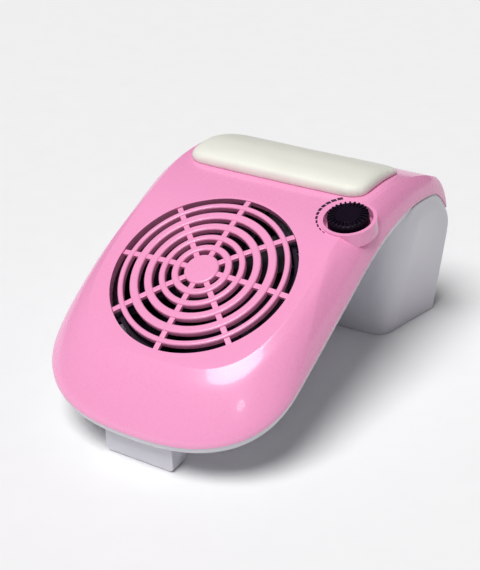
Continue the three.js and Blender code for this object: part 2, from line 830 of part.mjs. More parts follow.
function filterPad() {
  const rearY = noseY + bodyLength;
  const half = filterHalfWidth - 2 * fitGap - cassetteWall;
  const low = filterLow + 2 * fitGap + cassetteWall;
  const high = filterHigh - 2 * fitGap - cassetteWall;
  return boxBetween([-half, rearY - cassetteDepth + 1, low], [half, rearY - cassetteFace - fitGap, high]);
}

// ---------- electronics ----------
function circuitBoard() {
  const top = boardHeight + circuitThickness;
  const middle = noseY + (boardFrontRun + boardRearRun) / 2;
  const plate = boxBetween(
    [-boardHalfX, noseY + boardFrontRun, boardHeight],
    [boardHalfX, noseY + boardRearRun, top],
  );
  let board = solidOf(plate);
  for (const [x, run] of circuitPosts()) {
    const hole = rod(screwRadius + fitGap, 0, 20, tinyFacets);
    board = board.subtract(solidOf(hole.translate(x, noseY + run, 0)));
  }
  return board
    .add(solidOf(box(12, 10, 9, 14, middle, top + 4)))
    .add(solidOf(box(8, 12, 6, -4, middle, top + 2.5)));
}

function capacitor() {
  const top = boardHeight + circuitThickness + fitGap;
  return rod(5, top, top + 12).translate(-20, noseY + (boardFrontRun + boardRearRun) / 2, 0);
}

function powerSocket() {
  const barrel = rod(socketRadius, 0, socketLength);
  const flange = rod(socketFlange, baseWall + fitGap, baseWall + fitGap + 2);
  const well = rod(socketRadius - 2, -1, 7);
  const pin = rod(1, 1, 8, tinyFacets);
  const shape = solidOf(barrel).add(solidOf(flange)).subtract(solidOf(well)).add(solidOf(pin));
  return geometryOf(shape).rotateX(Math.PI / 2).translate(socketX, noseY + bodyLength, socketHeight);
}

// an insulated lead through points of [x, run, height]
function lead(points) {
  const places = points.map(([x, run, z]) => new THREE.Vector3(x, noseY + run, z));
  const curve = new THREE.CatmullRomCurve3(places);
  const section = new THREE.Shape();
  section.absarc(0, 0, leadRadius, 0, 2 * Math.PI, false);
  return new THREE.ExtrudeGeometry(section, { steps: 26, curveSegments: 4, extrudePath: curve });
}

function motorLead() {
  const reach = fanFrameRadius + fitGap;
  const drop = fanFrameBottom + 3;
  const startRun = grilleRun + reach * Math.cos(deckTilt) - drop * Math.sin(deckTilt);
  const startZ = deckHeight(grilleRun) + reach * Math.sin(deckTilt) + drop * Math.cos(deckTilt);
  const [x, run] = leadTop;
  const end = boardHeight + circuitThickness + fitGap;
  const edgeRun = legTopFront + 2;
  const middleRun = (startRun + 8 + edgeRun) / 2;
  const overTray = (at) => seamHeight(at) - trayDepth + baseWall + 5;
  return lead([
    [0, startRun, startZ],
    [0, startRun + 8, startZ + 3.5],
    [0, middleRun, overTray(middleRun)],
    [-2, edgeRun, overTray(edgeRun) - 2],
    [-6, edgeRun + 16, overTray(edgeRun) - 18],
    [-10, run - 12, 60],
    [x, run - 2, 34],
    [x, run, end + 10],
    [x, run, end],
  ]);
}

function mainsLead() {
  const startRun = bodyLength - socketLength - fitGap;
  const [x, run] = mainsLeadEnd;
  const end = boardHeight + circuitThickness + fitGap;
  return lead([
    [socketX, startRun, socketHeight],
    [socketX, startRun - 7, socketHeight],
    [socketX - 6, startRun - 15, socketHeight - 2],
    [x + 20, run + 2, end + 12],
    [x + 4, run, end + 8],
    [x, run, end + 4],
    [x, run, end],
  ]);
}

// ---------- assembly ----------
piece("top_cover", geometryOf(topCover()), pinkGloss);
piece("base_shell", geometryOf(baseShell()), whiteGloss);
piece("front_foot", geometryOf(frontFoot()), whiteGloss);
piece("foot_strip", footStrip(), rubber);
padPlaces().forEach(([x, run], i) => {
  piece(`foot_pad_${i + 1}`, rod(padRadius, 0, padThickness).translate(x, noseY + run, 0), rubber);
});
piece("hand_rest_board", geometryOf(restBoard()), wood);
piece("hand_rest_cushion", geometryOf(restCushion()), ivoryLeather);
piece("intake_grille", geometryOf(grille()), pinkGloss, deckGroup);
piece("fan_frame", geometryOf(fanFrame()), blackPlastic, deckGroup);
piece("motor_stator", motorBody(), steel, deckGroup);
piece("bearing_upper", bearing(motorTop - bearingLength), steel, deckGroup);
piece("bearing_lower", bearing(fanFrameBottom + fanArmThickness + fitGap), steel, deckGroup);
piece("fan_impeller", geometryOf(impeller()), blackGloss, deckGroup);
piece("rotor_ring", rotorRing(), steel, deckGroup);
piece("motor_shaft", rod(shaftRadius, fanFrameBottom + fanArmThickness + fitGap, hubTop - 0.8 - fitGap),
  steel, deckGroup);
for (let i = 0; i < 4; i++) {
  const angle = Math.PI / 4 + (i * Math.PI) / 2;
  const seat = fanBossBottom - fitGap - 3 - fitGap;
  const fanScrew = geometryOf(screw(9));
  fanScrew.translate(fanBoltRadius * Math.cos(angle), fanBoltRadius * Math.sin(angle), seat);
  piece(`fan_screw_${i + 1}`, fanScrew, steel, deckGroup);
}
caseScrewPlaces.forEach(([x, y], i) => {
  const caseScrew = geometryOf(screw(14)).translate(x, y, trayFloorBottom - fitGap);
  piece(`case_screw_${i + 1}`, caseScrew, steel, deckGroup);
});
piece("speed_knob", geometryOf(speedKnob()), blackGloss, knobGroup);
piece("pot_shaft", rod(potShaftRadius, -wellDepth - wellFloor - 4, -wellDepth + 8.5), brass, knobGroup);
piece("pot_body", potBody(), steel, knobGroup);
piece("pot_can", potCan(), blackPlastic, knobGroup);
piece("filter_cassette", geometryOf(cassetteFrame()), whiteGloss);
piece("filter_pad", filterPad(), foam);
piece("control_board", geometryOf(circuitBoard()), circuitGreen);
piece("board_capacitor", capacitor(), blackPlastic);
circuitPosts().slice(0, 2).forEach(([x, run], i) => {
  const boardScrew = geometryOf(screw(5)).rotateX(Math.PI);
  const seat = boardHeight + circuitThickness + fitGap;
  piece(`board_screw_${i + 1}`, boardScrew.translate(x, noseY + run, seat), steel);
});
piece("power_socket", powerSocket(), blackPlastic);
piece("motor_lead", motorLead(), blackPlastic);
piece("mains_lead", mainsLead(), blackPlastic);

export default group;
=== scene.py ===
# Looks of a nail dust collector: a glossy pink cover with a domed intake grille, a padded
# hand rest over the rear crest, a ribbed speed knob in a sunken well, and a white base
# whose rear leg holds the exhaust filter.
# Sizes below are in millimetres. "Run" is the distance back from the nose.

import json
import math

import bpy
from mathutils import Matrix, Vector


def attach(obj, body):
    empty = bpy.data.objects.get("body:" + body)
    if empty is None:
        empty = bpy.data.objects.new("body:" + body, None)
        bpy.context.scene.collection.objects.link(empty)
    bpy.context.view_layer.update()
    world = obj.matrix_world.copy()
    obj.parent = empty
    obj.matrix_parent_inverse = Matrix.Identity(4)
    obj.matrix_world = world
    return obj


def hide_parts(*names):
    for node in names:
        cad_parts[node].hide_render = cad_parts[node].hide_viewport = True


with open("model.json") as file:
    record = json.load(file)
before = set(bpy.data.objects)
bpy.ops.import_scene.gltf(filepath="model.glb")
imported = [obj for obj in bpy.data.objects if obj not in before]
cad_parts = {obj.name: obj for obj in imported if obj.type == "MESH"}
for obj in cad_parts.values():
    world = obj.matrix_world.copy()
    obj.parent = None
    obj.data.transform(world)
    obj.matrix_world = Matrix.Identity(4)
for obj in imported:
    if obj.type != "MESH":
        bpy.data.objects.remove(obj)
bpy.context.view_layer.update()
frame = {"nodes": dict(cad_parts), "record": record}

MM = 0.001

# ---------- sizes shared by the pieces ----------
BODY_LENGTH = 288
NOSE_Y = -BODY_LENGTH / 2
DECK_TILT = math.radians(25.5)
DECK_SLOPE = math.tan(DECK_TILT)
DECK_NOSE_HEIGHT = 57.5
SEAM_NOSE_HEIGHT = 27.3
CREST_START = BODY_LENGTH * 0.4444
CREST_RADIUS = BODY_LENGTH * 0.5903
SEAM_CREST_START = BODY_LENGTH * 0.5312
SEAM_CREST_RADIUS = BODY_LENGTH * 0.5486
REAR_DROP_START = 262
REAR_DROP = 12
SEAM_HALF_WIDTH = 92.9
CREASE_HALF_WIDTH = 76.2
COVER_WALL = 2.4
BASE_WALL = 2.6
SEAM_GAP = 0.4
TRAY_DEPTH = 8.5
GRILLE_RUN = 94
HOLE_RADIUS = 66
GRILLE_DOME = 4.2
GRILLE_THICKNESS = 4.5
GRILLE_DISC = 12.2
GRILLE_RINGS = [(16.2, 21.1), (25.8, 30.2), (35.2, 40.7), (45.3, 51.3), (56.3, 60.2)]
SPOKE_COUNT = 8
SPOKE_WIDTH = 4
SPOKE_DROP = 1.2
SPOKE_THICKNESS = 3
KNOB_X = 73.4
KNOB_RUN = 162
KNOB_TILT = math.radians(12.3)
KNOB_RADIUS = 14.5
KNOB_TOP = 4
KNOB_LOW = -7
WELL_RADIUS = 17
WELL_DEPTH = 8
COLLAR_RADIUS = 19.5
REST_HALF_WIDTH = 72.5
REST_FRONT = 182.5
REST_REAR = 250
REST_CROWN = 205
REST_CORNER = 12
REST_THINNING = 0.6
REST_SWELL = 1.2
LEG_FLOOR = 0.6
WINDOW_HALF_WIDTH = 56
WINDOW_LOW = 16
WINDOW_HIGH = 72
SOCKET_X = 68
SOCKET_HEIGHT = 30
SOCKET_HOLE_RADIUS = 5.8
PAD_POCKETS = [(57, 243), (-57, 243), (68, 274), (-68, 274)]
PAD_POCKET_RADIUS = 7.3
DISC_RADIUS = 62.1
DISC_LOW = -31.8
DISC_HIGH = -30.8
NOSE_POINTS = 44
SIDE_POINTS = 56


# ---------- camera ----------
def add_camera():
    azimuth = math.radians(33.14)
    elevation = math.radians(28.864)
    roll = math.radians(-2.027)
    back = Vector((
        math.sin(azimuth) * math.cos(elevation),
        -math.cos(azimuth) * math.cos(elevation),
        math.sin(elevation),
    ))
    level_right = Vector((0, 0, 1)).cross(back).normalized()
    level_up = back.cross(level_right)
    right = level_right * math.cos(roll) + level_up * math.sin(roll)
    up = level_up * math.cos(roll) - level_right * math.sin(roll)
    bpy.ops.object.camera_add()
    camera = bpy.context.object
    camera.name = "studio_camera"
    turn = Matrix((right, up, back)).transposed().to_4x4()
    camera.matrix_world = Matrix.Translation((0.454188, -0.700752, 0.528618)) @ turn
    camera.data.lens = 84.96
    camera.data.clip_start = 0.01
    camera.data.clip_end = 50
    bpy.context.scene.camera = camera


# ---------- curves of the body ----------
def smooth(value):
    t = min(max(value, 0), 1)
    return t * t * (3 - 2 * t)


def mix(a, b, share):
    return a + (b - a) * share


def crest_curve(run, nose_height, start, radius):
    if run <= start:
        return nose_height + run * DECK_SLOPE
    centre_run = start + radius * math.sin(DECK_TILT)
    centre_height = nose_height + start * DECK_SLOPE - radius * math.cos(DECK_TILT)
    return centre_height + math.sqrt(radius ** 2 - (run - centre_run) ** 2)


def deck_height(run):
    return crest_curve(run, DECK_NOSE_HEIGHT, CREST_START, CREST_RADIUS)


def seam_height(run):
    drop = max(run - REAR_DROP_START, 0) / (BODY_LENGTH - REAR_DROP_START)
    return crest_curve(run, SEAM_NOSE_HEIGHT, SEAM_CREST_START, SEAM_CREST_RADIUS) - REAR_DROP * drop ** 2


def rear_share(run):
    return smooth((run - SEAM_CREST_START) / (BODY_LENGTH - SEAM_CREST_START))


def seam_half(run):
    return SEAM_HALF_WIDTH - smooth((run - 65) / 120) - 2.5 * rear_share(run)


def crease_half(run):
    return CREASE_HALF_WIDTH + 2.8 * smooth((run - 129) / 70) + 3.5 * rear_share(run)


SEAM_PLAN = {"front": 0, "shoulder": 65, "rear": BODY_LENGTH, "power": 2.5, "half": seam_half}
CREASE_PLAN = {"front": 28.6, "shoulder": 129, "rear": BODY_LENGTH - 6, "power": 3.4, "half": crease_half}


def body_loop(plan, inset, height):
    """A loop round the body, from just right of the nose's middle back to the right rear
    corner, then its mirror from the left rear corner to just left of the middle."""
    front = plan["front"] + inset
    shoulder = plan["shoulder"]
    shoulder_half = plan["half"](shoulder) - inset
    right = []
    for i in range(NOSE_POINTS + 1):
        angle = ((i + 0.5) / (NOSE_POINTS + 0.5)) * math.pi / 2
        x = shoulder_half * math.sin(angle) ** (2 / plan["power"])
        run = shoulder - (shoulder - front) * max(math.cos(angle), 0) ** (2 / plan["power"])
        right.append((x, run))
    rear = plan["rear"] - inset
    for i in range(1, SIDE_POINTS + 1):
        run = mix(shoulder, rear, i / SIDE_POINTS)
        right.append((plan["half"](run) - inset, run))
    whole = right + [(-x, run) for x, run in reversed(right)]
    return [Vector((x, NOSE_Y + run, height(run))) * MM for x, run in whole]


# ---------- modelling helpers ----------
def only(piece):
    bpy.ops.object.select_all(action="DESELECT")
    piece.select_set(True)
    bpy.context.view_layer.objects.active = piece


def named(name):
    piece = bpy.context.object
    piece.name = name
    piece.data.name = name
    only(piece)
    return piece


def edit(piece, *steps):
    """Runs edit mode operators on the whole of a piece, each given as (operator, settings)."""
    only(piece)
    bpy.ops.object.mode_set(mode="EDIT")
    bpy.ops.mesh.select_all(action="SELECT")
    for operator, settings in steps:
        operator(**settings)
    bpy.ops.object.mode_set(mode="OBJECT")


def mended(piece):
    """Clears the slivers that cuts leave where two surfaces nearly meet."""
    edit(
        piece,
        (bpy.ops.mesh.remove_doubles, {"threshold": 0.02 * MM}),
        (bpy.ops.mesh.dissolve_degenerate, {"threshold": 0.01 * MM}),
        (bpy.ops.mesh.fill_holes, {"sides": 12}),
    )
    return piece


def finished(piece, kind, **settings):
    only(piece)
    modifier = piece.modifiers.new(kind.lower(), kind)
    for key, value in settings.items():
        setattr(modifier, key, value)
    bpy.ops.object.modifier_apply(modifier=modifier.name)


def rounded(piece, width, angle=40, segments=3):
    finished(
        piece, "BEVEL", width=width * MM, segments=segments, limit_method="ANGLE",
        angle_limit=math.radians(angle), use_clamp_overlap=True, harden_normals=False,
    )


def shaded(piece, angle=35):
    only(piece)
    bpy.ops.object.shade_smooth_by_angle(angle=math.radians(angle), keep_sharp_edges=False)
    finished(piece, "WEIGHTED_NORMAL", keep_sharp=True, weight=80)


def combined(piece, others, operation):
    for other in others:
        finished(piece, "BOOLEAN", operation=operation, object=other, solver="EXACT")
        bpy.data.objects.remove(other)
    return piece


def cut(piece, *others):
    return combined(piece, others, "DIFFERENCE")


def fused(piece, *others):
    return combined(piece, others, "UNION")


def joined(name, pieces):
    bpy.ops.object.select_all(action="DESELECT")
    for piece in pieces:
        piece.select_set(True)
    bpy.context.view_layer.objects.active = pieces[0]
    if len(pieces) > 1:
        bpy.ops.object.join()
    return named(name)


def copied(piece, matrix):
    twin = bpy.data.objects.new(piece.name, piece.data.copy())
    bpy.context.scene.collection.objects.link(twin)
    twin.data.transform(matrix)
    return twin


def spread_round(name, piece, count, start=0):
    """Copies a piece evenly round the Z axis and joins the copies."""
    turns = [start + i * 2 * math.pi / count for i in range(count)]
    twins = [copied(piece, Matrix.Rotation(turn, 4, "Z")) for turn in turns]
    bpy.data.objects.remove(piece)
    return joined(name, twins)


def loft(name, loops):
    """A skin through matching closed loops: a circle laid on the first loop, and its edge
    extruded to each of the others in turn."""
    bpy.ops.object.select_all(action="DESELECT")
    bpy.ops.mesh.primitive_circle_add(vertices=len(loops[0]), radius=1)
    piece = named(name)
    for vertex, place in zip(piece.data.vertices, loops[0]):
        vertex.co = place
    last = loops[0]
    for loop in loops[1:]:
        bpy.ops.object.mode_set(mode="EDIT")
        bpy.ops.mesh.extrude_edges_move()
        bpy.ops.object.mode_set(mode="OBJECT")
        for vertex in [v for v in piece.data.vertices if v.select]:
            vertex.co = loop[nearest_index(vertex.co, last)]
        last = loop
    return piece


def nearest_index(place, loop):
    return min(range(len(loop)), key=lambda i: (loop[i] - place).length_squared)


def place_at(piece, matrix):
    piece.data.transform(matrix)
    piece.data.update()
    return piece


def deck_frame():
    place = Vector((0, NOSE_Y + GRILLE_RUN, deck_height(GRILLE_RUN))) * MM
    return Matrix.Translation(place) @ Matrix.Rotation(DECK_TILT, 4, "X")


def knob_frame():
    place = Vector((KNOB_X, NOSE_Y + KNOB_RUN, deck_height(KNOB_RUN))) * MM
    return Matrix.Translation(place) @ Matrix.Rotation(KNOB_TILT, 4, "X")


def rod(name, radius, low, high, steps=96):
    bpy.ops.object.select_all(action="DESELECT")
    bpy.ops.mesh.primitive_cylinder_add(
        vertices=steps, radius=radius * MM, depth=(high - low) * MM,
        location=(0, 0, (high + low) / 2 * MM),
    )
    bpy.ops.object.transform_apply(location=True, rotation=True, scale=True)
    return named(name)


def block(name, low, high):
    """A box between two corners."""
    size = [b - a for a, b in zip(low, high)]
    middle = [(a + b) / 2 * MM for a, b in zip(low, high)]
    bpy.ops.object.select_all(action="DESELECT")
    bpy.ops.mesh.primitive_cube_add(size=MM, location=middle)
    bpy.context.object.scale = size
    bpy.ops.object.transform_apply(location=True, rotation=True, scale=True)
    return named(name)


def turned(name, outline, steps=96):
    """A part turned about Z from a closed outline of (radius, height)."""
    bpy.ops.object.select_all(action="DESELECT")
    bpy.ops.mesh.primitive_circle_add(vertices=len(outline), radius=1)
    piece = named(name)
    for vertex, (radius, height) in zip(piece.data.vertices, outline):
        vertex.co = Vector((radius, 0, height)) * MM
    edit(piece, (bpy.ops.mesh.spin, {
        "steps": steps, "angle": 2 * math.pi, "center": (0, 0, 0), "axis": (0, 0, 1), "use_auto_merge": True,
    }))
    edit(
        piece,
        (bpy.ops.mesh.remove_doubles, {"threshold": 0.02 * MM}),
        (bpy.ops.mesh.dissolve_degenerate, {"threshold": 0.001 * MM}),
        (bpy.ops.mesh.delete_loose, {}),
    )
    edit(piece, (bpy.ops.mesh.normals_make_consistent, {"inside": False}))
    return piece


def bar_outline(inner, outer, low, high, corner, points=5):
    """A bar's section: a rectangle with its two upper corners rounded."""
    outline = [(inner, low), (outer, low)]
    for i in range(points + 1):
        angle = (i / points) * math.pi / 2
        outline.append((outer - corner + corner * math.cos(angle), high - corner + corner * math.sin(angle)))
    for i in range(points + 1):
        angle = math.pi / 2 + (i / points) * math.pi / 2
        outline.append((inner + corner + corner * math.cos(angle), high - corner + corner * math.sin(angle)))
    return outline


# ---------- node helpers ----------
def new_group(name, inputs, outputs):
    group = bpy.data.node_groups.new(name, "ShaderNodeTree")
    for label, kind, value in inputs:
        socket = group.interface.new_socket(name=label, in_out="INPUT", socket_type=kind)
        if value is not None:
            socket.default_value = value
    for label, kind in outputs:
        group.interface.new_socket(name=label, in_out="OUTPUT", socket_type=kind)
    entry = group.nodes.new("NodeGroupInput")
    leave = group.nodes.new("NodeGroupOutput")
    return group, entry, leave


def node(tree, kind, **settings):
    made = tree.nodes.new(kind)
    for key, value in settings.items():
        setattr(made, key, value)
    return made


def ramp(tree, source, low, high):
    """Maps a value to 0..1 between two limits."""
    made = node(tree, "ShaderNodeMapRange")
    made.inputs["From Min"].default_value = low
    made.inputs["From Max"].default_value = high
    tree.links.new(source, made.inputs["Value"])
    return made.outputs["Result"]


def scaled(tree, source, low, high):
    made = node(tree, "ShaderNodeMapRange")
    tree.links.new(source, made.inputs["Value"])
    for key, value in (("To Min", low), ("To Max", high)):
        if isinstance(value, (int, float)):
            made.inputs[key].default_value = value
        else:
            tree.links.new(value, made.inputs[key])
    return made.outputs["Result"]


def noise(tree, vector, scale, detail=3, roughness=0.5):
    made = node(tree, "ShaderNodeTexNoise")
    made.inputs["Detail"].default_value = detail
    made.inputs["Roughness"].default_value = roughness
    tree.links.new(vector, made.inputs["Vector"])
    if isinstance(scale, (int, float)):
        made.inputs["Scale"].default_value = scale
    else:
        tree.links.new(scale, made.inputs["Scale"])
    return made.outputs["Fac"]


def moulding_group():
    """Moulded plastic: slow drifts of tone, fine flow marks, and a faint orange peel."""
    group, entry, leave = new_group(
        "moulded_plastic",
        [("Vector", "NodeSocketVector", None), ("Peel Scale", "NodeSocketFloat", 900.0),
         ("Rough Low", "NodeSocketFloat", 0.2), ("Rough High", "NodeSocketFloat", 0.3)],
        [("Tone", "NodeSocketFloat"), ("Roughness", "NodeSocketFloat"), ("Height", "NodeSocketFloat")],
    )
    drift = noise(group, entry.outputs["Vector"], 14.0, 2)
    flow = noise(group, entry.outputs["Vector"], 160.0, 4, 0.6)
    peel = noise(group, entry.outputs["Vector"], entry.outputs["Peel Scale"], 2)
    blend = node(group, "ShaderNodeMath", operation="MULTIPLY_ADD")
    group.links.new(flow, blend.inputs[0])
    blend.inputs[1].default_value = 0.35
    group.links.new(drift, blend.inputs[2])
    group.links.new(ramp(group, blend.outputs[0], 0.45, 0.95), leave.inputs["Tone"])
    rough = scaled(group, flow, entry.outputs["Rough Low"], entry.outputs["Rough High"])
    group.links.new(rough, leave.inputs["Roughness"])
    group.links.new(peel, leave.inputs["Height"])
    return group


def dust_group():
    """Pale dust that gathers in soft patches, more on faces that look up."""
    group, entry, leave = new_group(
        "settled_dust",
        [("Vector", "NodeSocketVector", None), ("Amount", "NodeSocketFloat", 0.3)],
        [("Mask", "NodeSocketFloat")],
    )
    patches = noise(group, entry.outputs["Vector"], 60.0, 6, 0.65)
    geometry = node(group, "ShaderNodeNewGeometry")
    split = node(group, "ShaderNodeSeparateXYZ")
    group.links.new(geometry.outputs["Normal"], split.inputs[0])
    upward = ramp(group, split.outputs["Z"], 0.2, 1.0)
    both = node(group, "ShaderNodeMath", operation="MULTIPLY")
    group.links.new(ramp(group, patches, 0.5, 0.8), both.inputs[0])
    group.links.new(upward, both.inputs[1])
    weighed = node(group, "ShaderNodeMath", operation="MULTIPLY")
    group.links.new(both.outputs[0], weighed.inputs[0])
    group.links.new(entry.outputs["Amount"], weighed.inputs[1])
    group.links.new(weighed.outputs[0], leave.inputs["Mask"])
    return group


MOULDING = moulding_group()
DUST = dust_group()


def srgb(red, green, blue):
    def linear(value):
        share = value / 255
        return share / 12.92 if share <= 0.04045 else ((share + 0.055) / 1.055) ** 2.4
    return (linear(red), linear(green), linear(blue), 1.0)


def new_material(name, metallic=0.0, coat=0.0, coat_roughness=0.1, specular=0.5):
    material = bpy.data.materials.new(name)
    material.use_nodes = True
    shader = material.node_tree.nodes["Principled BSDF"]
    shader.inputs["Metallic"].default_value = metallic
    shader.inputs["Coat Weight"].default_value = coat
    shader.inputs["Coat Roughness"].default_value = coat_roughness
    shader.inputs["Specular IOR Level"].default_value = specular
    coordinates = node(material.node_tree, "ShaderNodeTexCoord")
    return material, material.node_tree, shader, coordinates.outputs["Object"]


def two_tone(tree, shader, mask, first, second):
    tone = node(tree, "ShaderNodeMix", data_type="RGBA")
    tone.inputs["A"].default_value = first
    tone.inputs["B"].default_value = second
    tree.links.new(mask, tone.inputs["Factor"])
    tree.links.new(tone.outputs["Result"], shader.inputs["Base Color"])
    return tone.outputs["Result"]


def relief(tree, shader, height, strength, distance):
    bump = node(tree, "ShaderNodeBump")
    bump.inputs["Strength"].default_value = strength
    bump.inputs["Distance"].default_value = distance * MM
    tree.links.new(height, bump.inputs["Height"])
    tree.links.new(bump.outputs["Normal"], shader.inputs["Normal"])


def plastic(name, first, second, rough, peel=900.0, peel_strength=0.12, dust=0.0, dust_colour=None, **shine):
    material, tree, shader, where = new_material(name, **shine)
    surface = node(tree, "ShaderNodeGroup", node_tree=MOULDING)
    surface.inputs["Peel Scale"].default_value = peel
    surface.inputs["Rough Low"].default_value = rough[0]
    surface.inputs["Rough High"].default_value = rough[1]
    tree.links.new(where, surface.inputs["Vector"])
    colour = two_tone(tree, shader, surface.outputs["Tone"], first, second)
    tree.links.new(surface.outputs["Roughness"], shader.inputs["Roughness"])
    relief(tree, shader, surface.outputs["Height"], peel_strength, 0.05)
    if dust:
        settled = node(tree, "ShaderNodeGroup", node_tree=DUST)
        settled.inputs["Amount"].default_value = dust
        tree.links.new(where, settled.inputs["Vector"])
        over = node(tree, "ShaderNodeMix", data_type="RGBA")
        over.inputs["B"].default_value = dust_colour
        tree.links.new(settled.outputs["Mask"], over.inputs["Factor"])
        tree.links.new(colour, over.inputs["A"])
        tree.links.new(over.outputs["Result"], shader.inputs["Base Color"])
    return material


def leatherette():
    """Soft grained leatherette: small cells with fine creases between them."""
    material, tree, shader, where = new_material("ivory_leatherette", coat=0.08, coat_roughness=0.4)
    cells = node(tree, "ShaderNodeTexVoronoi", feature="DISTANCE_TO_EDGE")
    cells.inputs["Scale"].default_value = 1100
    wander = noise(tree, where, 300.0, 2)
    warp = node(tree, "ShaderNodeVectorMath", operation="MULTIPLY_ADD")
    tree.links.new(wander, warp.inputs[0])
    warp.inputs[1].default_value = (0.0012, 0.0012, 0.0012)
    tree.links.new(where, warp.inputs[2])
    tree.links.new(warp.outputs[0], cells.inputs["Vector"])
    grain = ramp(tree, cells.outputs["Distance"], 0.0, 0.12)
    drift = noise(tree, where, 25.0, 3)
    shade = node(tree, "ShaderNodeMath", operation="MULTIPLY_ADD")
    tree.links.new(grain, shade.inputs[0])
    shade.inputs[1].default_value = 0.35
    tree.links.new(drift, shade.inputs[2])
    two_tone(tree, shader, ramp(tree, shade.outputs[0], 0.3, 1.0), srgb(233, 233, 221), srgb(243, 243, 233))
    tree.links.new(scaled(tree, grain, 0.62, 0.5), shader.inputs["Roughness"])
    relief(tree, shader, grain, 0.25, 0.08)
    return material


def brushed(name, first, second, stretch=(30.0, 30.0, 900.0), rough=(0.25, 0.42)):
    material, tree, shader, where = new_material(name, metallic=1.0)
    mapping = node(tree, "ShaderNodeMapping")
    mapping.inputs["Scale"].default_value = stretch
    tree.links.new(where, mapping.inputs["Vector"])
    strokes = noise(tree, mapping.outputs["Vector"], 1.0, 5, 0.7)
    two_tone(tree, shader, strokes, first, second)
    tree.links.new(scaled(tree, strokes, *rough), shader.inputs["Roughness"])
    relief(tree, shader, strokes, 0.15, 0.03)
    return material


def open_foam():
    material, tree, shader, where = new_material("filter_foam", specular=0.2)
    cells = node(tree, "ShaderNodeTexVoronoi", feature="F1")
    cells.inputs["Scale"].default_value = 700
    tree.links.new(where, cells.inputs["Vector"])
    # The pores are painted darker than the cell walls round them: painted shade in the foam's pits.
    depth = ramp(tree, cells.outputs["Distance"], 0.1, 0.7)
    two_tone(tree, shader, depth, srgb(28, 29, 33), srgb(84, 86, 92))
    tree.links.new(scaled(tree, depth, 0.85, 1.0), shader.inputs["Roughness"])
    relief(tree, shader, depth, 0.8, 0.6)
    return material


def plywood():
    material, tree, shader, where = new_material("rest_plywood")
    mapping = node(tree, "ShaderNodeMapping")
    mapping.inputs["Scale"].default_value = (12.0, 300.0, 300.0)
    tree.links.new(where, mapping.inputs["Vector"])
    grain = noise(tree, mapping.outputs["Vector"], 1.0, 6, 0.65)
    two_tone(tree, shader, grain, srgb(170, 128, 84), srgb(222, 190, 144))
    tree.links.new(scaled(tree, grain, 0.6, 0.8), shader.inputs["Roughness"])
    relief(tree, shader, grain, 0.3, 0.1)
    return material


def circuit_lacquer():
    material, tree, shader, where = new_material("circuit_lacquer", coat=0.5, coat_roughness=0.15)
    tracks = node(tree, "ShaderNodeTexBrick")
    tracks.inputs["Scale"].default_value = 90
    tracks.inputs["Mortar Size"].default_value = 0.06
    tree.links.new(where, tracks.inputs["Vector"])
    blur = noise(tree, where, 200.0, 3)
    both = node(tree, "ShaderNodeMath", operation="MULTIPLY")
    tree.links.new(tracks.outputs["Fac"], both.inputs[0])
    tree.links.new(blur, both.inputs[1])
    two_tone(tree, shader, both.outputs[0], srgb(20, 84, 48), srgb(94, 150, 92))
    tree.links.new(scaled(tree, blur, 0.3, 0.45), shader.inputs["Roughness"])
    return material


def soft_rubber():
    material, tree, shader, where = new_material("pad_rubber", specular=0.3)
    grain = noise(tree, where, 1500.0, 4, 0.7)
    two_tone(tree, shader, grain, srgb(176, 176, 182), srgb(216, 216, 220))
    tree.links.new(scaled(tree, grain, 0.75, 0.95), shader.inputs["Roughness"])
    relief(tree, shader, grain, 0.4, 0.1)
    return material


PINK = plastic(
    "pink_gloss", srgb(249, 160, 205), srgb(250, 163, 208), (0.26, 0.29), peel_strength=0.03,
    coat=0.35, coat_roughness=0.06,
)
WHITE = plastic(
    "white_gloss", srgb(210, 208, 216), srgb(214, 212, 220), (0.3, 0.34), peel_strength=0.03,
    coat=0.25, coat_roughness=0.1,
)
KNOB = plastic(
    "knob_purple_black", srgb(16, 6, 22), srgb(26, 12, 33), (0.34, 0.48), peel=1600.0, peel_strength=0.2,
    specular=0.14,
)
IMPELLER = plastic(
    "impeller_purple_black", srgb(14, 4, 18), srgb(24, 10, 30), (0.45, 0.6), peel=1200.0, specular=0.2,
    dust=0.1, dust_colour=srgb(90, 70, 96),
)
NYLON = plastic(
    "black_nylon", srgb(20, 7, 26), srgb(34, 16, 42), (0.5, 0.65),
    peel=1400.0, peel_strength=0.25, specular=0.25,
    dust=0.12, dust_colour=srgb(90, 76, 100),
)
# Painted shade: the dark matt colour of the tray disc, which darkens the inside of the tray under the fan.
PAINTED_SHADE_MATT = plastic(
    "painted_shade_disc", srgb(14, 7, 19), srgb(26, 15, 33), (0.85, 0.95),
    peel=700.0, peel_strength=0.9, specular=0.15,
)
INK = plastic("printed_ink", srgb(40, 14, 44), srgb(58, 26, 60), (0.4, 0.5), peel=2000.0)
STEEL = brushed("plated_steel", srgb(168, 170, 176), srgb(214, 216, 222))
BRASS = brushed("turned_brass", srgb(176, 136, 60), srgb(222, 188, 112))
LEATHER = leatherette()
FOAM = open_foam()
PLYWOOD = plywood()
CIRCUIT = circuit_lacquer()
RUBBER = soft_rubber()


def coloured(piece, material):
    piece.data.materials.clear()
    piece.data.materials.append(material)


def kept(piece, material, body, slot, *nodes):
    coloured(piece, material)
    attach(piece, body)
    if nodes:
        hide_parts(*nodes)
    return piece


# ---------- top cover ----------
FACET = [(0, 0, 0), (0.12, 0.02, 0.02), (0.45, 0.29, 0.2), (0.75, 0.62, 0.5), (0.92, 0.87, 0.8), (1, 1, 1)]


